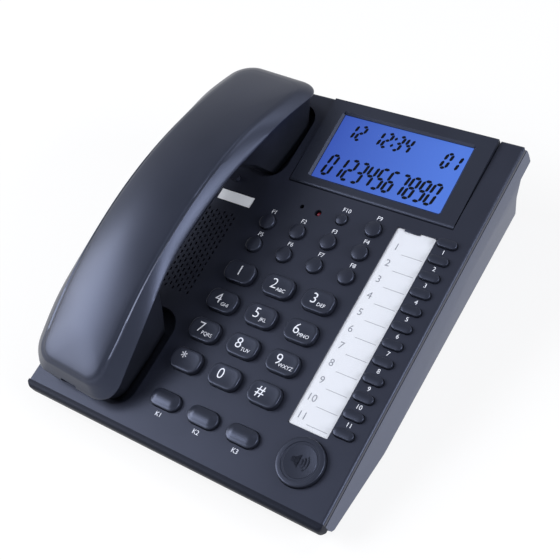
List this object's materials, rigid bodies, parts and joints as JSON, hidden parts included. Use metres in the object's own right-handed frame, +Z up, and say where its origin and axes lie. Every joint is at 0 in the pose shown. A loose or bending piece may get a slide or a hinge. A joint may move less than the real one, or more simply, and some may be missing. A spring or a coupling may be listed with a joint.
{
  "type": "corded telephone",
  "caption": "Desk telephone with a sloping base, key field, tilting lit display, memory-key card and an arched lift-off handset.",
  "frame": {"origin": "middle of the base on the desk, under the feet", "axes": "+X to the user's right, +Y away from the user, +Z up"},
  "size_m": [0.192, 0.2234, 0.0857],
  "materials": {
    "face_plastic": "fine-textured moulded ABS",
    "case_plastic": "fine-textured moulded ABS",
    "bezel_plastic": "satin moulded ABS",
    "handset_plastic": "satin moulded ABS",
    "handset_inner": "satin moulded ABS",
    "key_plastic": "satin moulded ABS",
    "clear_cover": "clear sheet",
    "clear_window": "clear moulded acrylic",
    "lcd_glass": "lit blue liquid-crystal panel",
    "paper": "printed card",
    "red_lens": "clear red lamp",
    "circuit_board": "laminate",
    "silicone_mat": "moulded silicone",
    "jack_plastic": "moulded nylon",
    "speaker_metal": "pressed steel",
    "foot_rubber": "moulded rubber"
  },
  "bodies": {
    "base": {"top_cover": "face_plastic", "bottom_cover": "case_plastic", "main_board": "circuit_board", "keypad_mat": "silicone_mat", "memo_card": "paper", "memo_card_cover": "clear_cover", "name_label": "paper", "in_use_lamp": "red_lens", "loudspeaker": "speaker_metal", "hook_switch": "jack_plastic", "modular_jacks": "jack_plastic", "rubber_feet": "foot_rubber"},
    "handset": {"handset_back_shell": "handset_plastic", "handset_front_shell": "handset_inner", "receiver_capsule": "speaker_metal", "handset_microphone": "speaker_metal", "handset_jack": "jack_plastic"},
    "display_unit": {"display_bezel": "bezel_plastic", "display_back_cover": "case_plastic", "display_window": "clear_window", "lcd_panel": "lcd_glass"},
    "plunger": {"hook_plunger": "key_plastic"},
    "dial_key_1": {"dial_key_1": "key_plastic"},
    "dial_key_2": {"dial_key_2": "key_plastic"},
    "dial_key_3": {"dial_key_3": "key_plastic"},
    "dial_key_4": {"dial_key_4": "key_plastic"},
    "dial_key_5": {"dial_key_5": "key_plastic"},
    "dial_key_6": {"dial_key_6": "key_plastic"},
    "dial_key_7": {"dial_key_7": "key_plastic"},
    "dial_key_8": {"dial_key_8": "key_plastic"},
    "dial_key_9": {"dial_key_9": "key_plastic"},
    "dial_key_star": {"dial_key_star": "key_plastic"},
    "dial_key_0": {"dial_key_0": "key_plastic"},
    "dial_key_hash": {"dial_key_hash": "key_plastic"},
    "round_key_1": {"round_key_1": "key_plastic"},
    "round_key_2": {"round_key_2": "key_plastic"},
    "round_key_3": {"round_key_3": "key_plastic"},
    "round_key_4": {"round_key_4": "key_plastic"},
    "round_key_5": {"round_key_5": "key_plastic"},
    "round_key_6": {"round_key_6": "key_plastic"},
    "round_key_7": {"round_key_7": "key_plastic"},
    "round_key_8": {"round_key_8": "key_plastic"},
    "round_key_9": {"round_key_9": "key_plastic"},
    "round_key_10": {"round_key_10": "key_plastic"},
    "oval_key_1": {"oval_key_1": "key_plastic"},
    "oval_key_2": {"oval_key_2": "key_plastic"},
    "oval_key_3": {"oval_key_3": "key_plastic"},
    "hands_free_key": {"hands_free_key": "key_plastic"},
    "memory_key_1": {"memory_key_1": "key_plastic"},
    "memory_key_2": {"memory_key_2": "key_plastic"},
    "memory_key_3": {"memory_key_3": "key_plastic"},
    "memory_key_4": {"memory_key_4": "key_plastic"},
    "memory_key_5": {"memory_key_5": "key_plastic"},
    "memory_key_6": {"memory_key_6": "key_plastic"},
    "memory_key_7": {"memory_key_7": "key_plastic"},
    "memory_key_8": {"memory_key_8": "key_plastic"},
    "memory_key_9": {"memory_key_9": "key_plastic"},
    "memory_key_10": {"memory_key_10": "key_plastic"},
    "memory_key_11": {"memory_key_11": "key_plastic"},
    "memory_key_12": {"memory_key_12": "key_plastic"}
  },
  "joints": [
    {"name": "handset_lift", "type": "slide", "parent": "base", "child": "handset", "axis": [0, -0.225, 0.9744], "range_m": [0, 0.08]},
    {"name": "plunger_rise", "type": "slide", "parent": "base", "child": "plunger", "axis": [0, -0.225, 0.9744], "range_m": [0, 0.003]},
    {"name": "display_tilt", "type": "hinge", "parent": "base", "child": "display_unit", "pos_m": [0.0315, 0.04876, 0.04961], "axis": [1, 0, 0], "range_deg": [0, 40]},
    {"name": "dial_key_1_press", "type": "slide", "parent": "base", "child": "dial_key_1", "axis": [0, 0.225, -0.9744], "range_m": [0, 0.0014], "stiffness_N_per_m": 400, "springref_m": -0.0006},
    {"name": "dial_key_2_press", "type": "slide", "parent": "base", "child": "dial_key_2", "axis": [0, 0.225, -0.9744], "range_m": [0, 0.0014], "stiffness_N_per_m": 400, "springref_m": -0.0006},
    {"name": "dial_key_3_press", "type": "slide", "parent": "base", "child": "dial_key_3", "axis": [0, 0.225, -0.9744], "range_m": [0, 0.0014], "stiffness_N_per_m": 400, "springref_m": -0.0006},
    {"name": "dial_key_4_press", "type": "slide", "parent": "base", "child": "dial_key_4", "axis": [0, 0.225, -0.9744], "range_m": [0, 0.0014], "stiffness_N_per_m": 400, "springref_m": -0.0006},
    {"name": "dial_key_5_press", "type": "slide", "parent": "base", "child": "dial_key_5", "axis": [0, 0.225, -0.9744], "range_m": [0, 0.0014], "stiffness_N_per_m": 400, "springref_m": -0.0006},
    {"name": "dial_key_6_press", "type": "slide", "parent": "base", "child": "dial_key_6", "axis": [0, 0.225, -0.9744], "range_m": [0, 0.0014], "stiffness_N_per_m": 400, "springref_m": -0.0006},
    {"name": "dial_key_7_press", "type": "slide", "parent": "base", "child": "dial_key_7", "axis": [0, 0.225, -0.9744], "range_m": [0, 0.0014], "stiffness_N_per_m": 400, "springref_m": -0.0006},
    {"name": "dial_key_8_press", "type": "slide", "parent": "base", "child": "dial_key_8", "axis": [0, 0.225, -0.9744], "range_m": [0, 0.0014], "stiffness_N_per_m": 400, "springref_m": -0.0006},
    {"name": "dial_key_9_press", "type": "slide", "parent": "base", "child": "dial_key_9", "axis": [0, 0.225, -0.9744], "range_m": [0, 0.0014], "stiffness_N_per_m": 400, "springref_m": -0.0006},
    {"name": "dial_key_star_press", "type": "slide", "parent": "base", "child": "dial_key_star", "axis": [0, 0.225, -0.9744], "range_m": [0, 0.0014], "stiffness_N_per_m": 400, "springref_m": -0.0006},
    {"name": "dial_key_0_press", "type": "slide", "parent": "base", "child": "dial_key_0", "axis": [0, 0.225, -0.9744], "range_m": [0, 0.0014], "stiffness_N_per_m": 400, "springref_m": -0.0006},
    {"name": "dial_key_hash_press", "type": "slide", "parent": "base", "child": "dial_key_hash", "axis": [0, 0.225, -0.9744], "range_m": [0, 0.0014], "stiffness_N_per_m": 400, "springref_m": -0.0006},
    {"name": "round_key_1_press", "type": "slide", "parent": "base", "child": "round_key_1", "axis": [0, 0.225, -0.9744], "range_m": [0, 0.0014], "stiffness_N_per_m": 400, "springref_m": -0.0006},
    {"name": "round_key_2_press", "type": "slide", "parent": "base", "child": "round_key_2", "axis": [0, 0.225, -0.9744], "range_m": [0, 0.0014], "stiffness_N_per_m": 400, "springref_m": -0.0006},
    {"name": "round_key_3_press", "type": "slide", "parent": "base", "child": "round_key_3", "axis": [0, 0.225, -0.9744], "range_m": [0, 0.0014], "stiffness_N_per_m": 400, "springref_m": -0.0006},
    {"name": "round_key_4_press", "type": "slide", "parent": "base", "child": "round_key_4", "axis": [0, 0.225, -0.9744], "range_m": [0, 0.0014], "stiffness_N_per_m": 400, "springref_m": -0.0006},
    {"name": "round_key_5_press", "type": "slide", "parent": "base", "child": "round_key_5", "axis": [0, 0.225, -0.9744], "range_m": [0, 0.0014], "stiffness_N_per_m": 400, "springref_m": -0.0006},
    {"name": "round_key_6_press", "type": "slide", "parent": "base", "child": "round_key_6", "axis": [0, 0.225, -0.9744], "range_m": [0, 0.0014], "stiffness_N_per_m": 400, "springref_m": -0.0006},
    {"name": "round_key_7_press", "type": "slide", "parent": "base", "child": "round_key_7", "axis": [0, 0.225, -0.9744], "range_m": [0, 0.0014], "stiffness_N_per_m": 400, "springref_m": -0.0006},
    {"name": "round_key_8_press", "type": "slide", "parent": "base", "child": "round_key_8", "axis": [0, 0.225, -0.9744], "range_m": [0, 0.0014], "stiffness_N_per_m": 400, "springref_m": -0.0006},
    {"name": "round_key_9_press", "type": "slide", "parent": "base", "child": "round_key_9", "axis": [0, 0.225, -0.9744], "range_m": [0, 0.0014], "stiffness_N_per_m": 400, "springref_m": -0.0006},
    {"name": "round_key_10_press", "type": "slide", "parent": "base", "child": "round_key_10", "axis": [0, 0.225, -0.9744], "range_m": [0, 0.0014], "stiffness_N_per_m": 400, "springref_m": -0.0006},
    {"name": "oval_key_1_press", "type": "slide", "parent": "base", "child": "oval_key_1", "axis": [0, 0.225, -0.9744], "range_m": [0, 0.0014], "stiffness_N_per_m": 400, "springref_m": -0.0006},
    {"name": "oval_key_2_press", "type": "slide", "parent": "base", "child": "oval_key_2", "axis": [0, 0.225, -0.9744], "range_m": [0, 0.0014], "stiffness_N_per_m": 400, "springref_m": -0.0006},
    {"name": "oval_key_3_press", "type": "slide", "parent": "base", "child": "oval_key_3", "axis": [0, 0.225, -0.9744], "range_m": [0, 0.0014], "stiffness_N_per_m": 400, "springref_m": -0.0006},
    {"name": "hands_free_key_press", "type": "slide", "parent": "base", "child": "hands_free_key", "axis": [0, 0.225, -0.9744], "range_m": [0, 0.0014], "stiffness_N_per_m": 400, "springref_m": -0.0006},
    {"name": "memory_key_1_press", "type": "slide", "parent": "base", "child": "memory_key_1", "axis": [0, 0.225, -0.9744], "range_m": [0, 0.0014], "stiffness_N_per_m": 400, "springref_m": -0.0006},
    {"name": "memory_key_2_press", "type": "slide", "parent": "base", "child": "memory_key_2", "axis": [0, 0.225, -0.9744], "range_m": [0, 0.0014], "stiffness_N_per_m": 400, "springref_m": -0.0006},
    {"name": "memory_key_3_press", "type": "slide", "parent": "base", "child": "memory_key_3", "axis": [0, 0.225, -0.9744], "range_m": [0, 0.0014], "stiffness_N_per_m": 400, "springref_m": -0.0006},
    {"name": "memory_key_4_press", "type": "slide", "parent": "base", "child": "memory_key_4", "axis": [0, 0.225, -0.9744], "range_m": [0, 0.0014], "stiffness_N_per_m": 400, "springref_m": -0.0006},
    {"name": "memory_key_5_press", "type": "slide", "parent": "base", "child": "memory_key_5", "axis": [0, 0.225, -0.9744], "range_m": [0, 0.0014], "stiffness_N_per_m": 400, "springref_m": -0.0006},
    {"name": "memory_key_6_press", "type": "slide", "parent": "base", "child": "memory_key_6", "axis": [0, 0.225, -0.9744], "range_m": [0, 0.0014], "stiffness_N_per_m": 400, "springref_m": -0.0006},
    {"name": "memory_key_7_press", "type": "slide", "parent": "base", "child": "memory_key_7", "axis": [0, 0.225, -0.9744], "range_m": [0, 0.0014], "stiffness_N_per_m": 400, "springref_m": -0.0006},
    {"name": "memory_key_8_press", "type": "slide", "parent": "base", "child": "memory_key_8", "axis": [0, 0.225, -0.9744], "range_m": [0, 0.0014], "stiffness_N_per_m": 400, "springref_m": -0.0006},
    {"name": "memory_key_9_press", "type": "slide", "parent": "base", "child": "memory_key_9", "axis": [0, 0.225, -0.9744], "range_m": [0, 0.0014], "stiffness_N_per_m": 400, "springref_m": -0.0006},
    {"name": "memory_key_10_press", "type": "slide", "parent": "base", "child": "memory_key_10", "axis": [0, 0.225, -0.9744], "range_m": [0, 0.0014], "stiffness_N_per_m": 400, "springref_m": -0.0006},
    {"name": "memory_key_11_press", "type": "slide", "parent": "base", "child": "memory_key_11", "axis": [0, 0.225, -0.9744], "range_m": [0, 0.0014], "stiffness_N_per_m": 400, "springref_m": -0.0006},
    {"name": "memory_key_12_press", "type": "slide", "parent": "base", "child": "memory_key_12", "axis": [0, 0.225, -0.9744], "range_m": [0, 0.0014], "stiffness_N_per_m": 400, "springref_m": -0.0006}
  ],
  "couplings": [
    {"joint": "plunger_rise", "follows": "handset_lift", "ratio": 0.0375}
  ]
}
